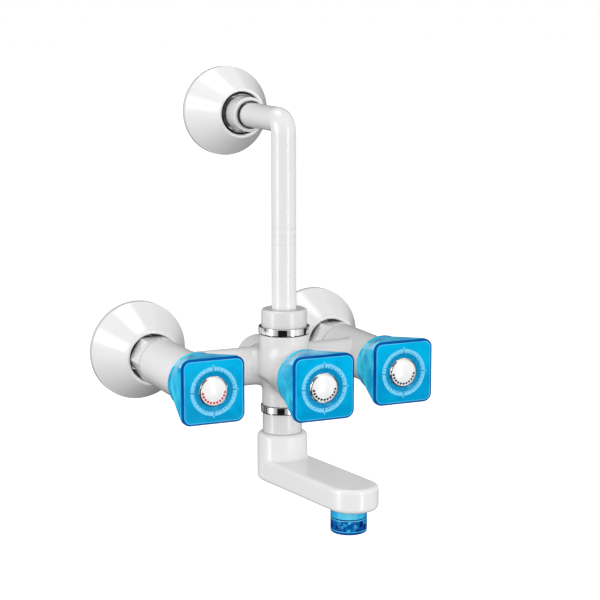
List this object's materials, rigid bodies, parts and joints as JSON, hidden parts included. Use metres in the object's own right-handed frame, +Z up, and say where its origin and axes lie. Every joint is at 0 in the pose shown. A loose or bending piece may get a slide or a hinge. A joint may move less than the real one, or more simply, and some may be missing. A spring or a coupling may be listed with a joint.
{
  "type": "wall mixer",
  "caption": "Wall mixer for hot and cold water with square crystal knobs, a diverter, a swivel spout with aerator and a riser pipe that bends back to the wall.",
  "frame": {"origin": "on the wall plane, midway between the axes of the hot and the cold inlet", "axes": "+Z up; +Y into the wall; +X from the hot inlet to the cold inlet, to the right as seen by the user"},
  "size_m": [0.227, 0.2381, 0.3209],
  "materials": {
    "white_plastic": "gloss",
    "blue_plastic": "gloss, clear blue",
    "aerator_blue": "gloss, clear blue",
    "cap_white": "gloss",
    "chrome": "polished",
    "brass": "turned",
    "steel": "plain",
    "rubber": "matt",
    "ceramic": "lapped ceramic",
    "inner_plastic": "moulded"
  },
  "bodies": {
    "main": {"body": "white_plastic", "hot_union_nut": "chrome", "cold_union_nut": "chrome", "hot_tailpiece": "brass", "cold_tailpiece": "brass", "hot_union_washer": "rubber", "cold_union_washer": "rubber", "hot_inlet_connector": "chrome", "cold_inlet_connector": "chrome", "upper_ring": "chrome", "riser_nut": "white_plastic", "riser_seal": "rubber", "riser_pipe": "white_plastic", "riser_trim_ring": "chrome", "riser_coupling": "white_plastic", "riser_washer": "rubber", "riser_lock_nut": "chrome", "riser_wall_nipple": "chrome", "lower_ring": "chrome", "spout_neck": "white_plastic", "spout_o_rings": "rubber", "spout_clip": "steel", "hot_headwork": "brass", "cold_headwork": "brass", "hot_seat_seal": "rubber", "cold_seat_seal": "rubber", "hot_fixed_disc": "ceramic", "cold_fixed_disc": "ceramic", "diverter_bonnet": "brass"},
    "hot_handle": {"hot_spindle": "brass", "hot_turning_disc": "ceramic", "hot_knob_bush": "inner_plastic", "hot_knob": "blue_plastic", "hot_knob_screw": "steel", "hot_cap_rim": "chrome", "hot_cap": "cap_white"},
    "cold_handle": {"cold_spindle": "brass", "cold_turning_disc": "ceramic", "cold_knob_bush": "inner_plastic", "cold_knob": "blue_plastic", "cold_knob_screw": "steel", "cold_cap_rim": "chrome", "cold_cap": "cap_white"},
    "diverter_handle": {"diverter_spindle": "brass", "diverter_plug": "inner_plastic", "diverter_knob_bush": "inner_plastic", "diverter_knob": "blue_plastic", "diverter_knob_screw": "steel", "diverter_cap_rim": "chrome", "diverter_cap": "cap_white"},
    "spout_arm": {"spout": "white_plastic", "aerator_housing": "aerator_blue", "flow_straightener": "inner_plastic", "aerator_washer": "rubber"},
    "hot_cover": {"hot_flange": "white_plastic"},
    "cold_cover": {"cold_flange": "white_plastic"},
    "riser_cover": {"riser_flange": "white_plastic"}
  },
  "joints": [
    {"name": "hot_turn", "type": "hinge", "parent": "main", "child": "hot_handle", "pos_m": [-0.075, -0.1265, 0], "axis": [0, -1, 0], "range_deg": [0, 90]},
    {"name": "cold_turn", "type": "hinge", "parent": "main", "child": "cold_handle", "pos_m": [0.075, -0.1265, 0], "axis": [0, -1, 0], "range_deg": [0, 90]},
    {"name": "divert_turn", "type": "hinge", "parent": "main", "child": "diverter_handle", "pos_m": [0, -0.1494, 0], "axis": [0, -1, 0], "range_deg": [0, 180]},
    {"name": "spout_swivel", "type": "hinge", "parent": "main", "child": "spout_arm", "pos_m": [0, -0.1115, 0], "axis": [0, 0, 1], "range_deg": [-160, 145]},
    {"name": "hot_flange_slide", "type": "slide", "parent": "main", "child": "hot_cover", "axis": [0, -1, 0], "range_m": [0, 0.04]},
    {"name": "cold_flange_slide", "type": "slide", "parent": "main", "child": "cold_cover", "axis": [0, -1, 0], "range_m": [0, 0.04]},
    {"name": "riser_flange_slide", "type": "slide", "parent": "main", "child": "riser_cover", "axis": [0, -1, 0], "range_m": [0, 0.055]}
  ]
}
